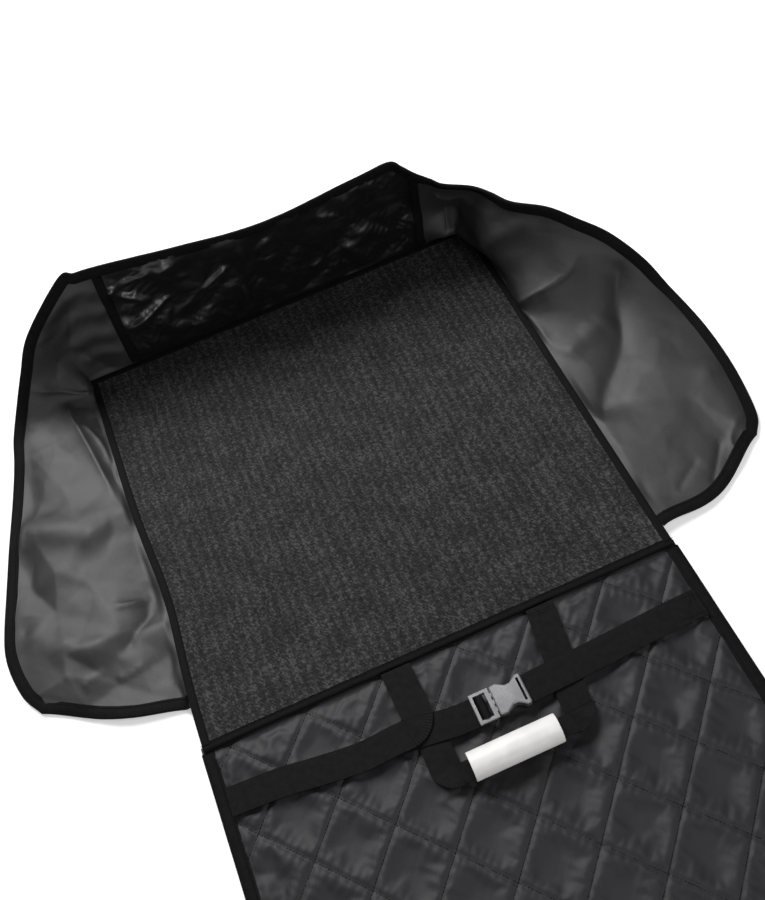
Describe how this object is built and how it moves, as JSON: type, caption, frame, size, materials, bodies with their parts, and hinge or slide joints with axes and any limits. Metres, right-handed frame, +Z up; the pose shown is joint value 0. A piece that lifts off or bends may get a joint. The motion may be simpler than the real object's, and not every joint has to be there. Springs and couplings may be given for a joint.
{
  "type": "dog car seat cover",
  "caption": "Front-seat cover: mesh-topped quilted seat panel, quilted back panel, standing front panel, side flaps, bound edges, webbing straps with buckles and an anchor tube.",
  "frame": {"origin": "centre of the seat panel's lower face, on the floor", "axes": "+Z up, +Y from the back panel towards the standing front panel, +X to the right seen from the back panel"},
  "size_m": [0.8953, 1.0994, 0.1756],
  "materials": {
    "quilt": "woven polyester with a soft sheen, quilted",
    "mesh": "matte non-slip knitted mesh",
    "coated_cloth": "satin coated oxford cloth",
    "binding_tape": "matte woven tape",
    "webbing": "matte woven webbing",
    "buckle_plastic": "satin silver-grey",
    "tube_plastic": "satin white"
  },
  "bodies": {
    "root": {"seat_pad": "quilt", "seat_mesh": "mesh", "back_pad": "quilt", "front_panel": "quilt", "side_flap_left": "coated_cloth", "side_flap_right": "coated_cloth", "skirt_binding": "binding_tape", "corner_tape_left": "binding_tape", "corner_tape_right": "binding_tape", "seat_tape_left": "binding_tape", "seat_tape_right": "binding_tape", "seat_tape_front": "binding_tape", "cross_binding": "binding_tape", "back_binding": "binding_tape", "anchor_strap": "webbing", "anchor_tube": "tube_plastic", "cross_strap_left": "webbing", "cross_strap_right": "webbing", "cross_buckle_socket": "buckle_plastic", "cross_buckle_plug": "buckle_plastic", "headrest_strap_left": "webbing", "headrest_strap_right": "webbing", "headrest_buckle_socket": "buckle_plastic", "headrest_buckle_plug": "buckle_plastic"}
  },
  "joints": []
}
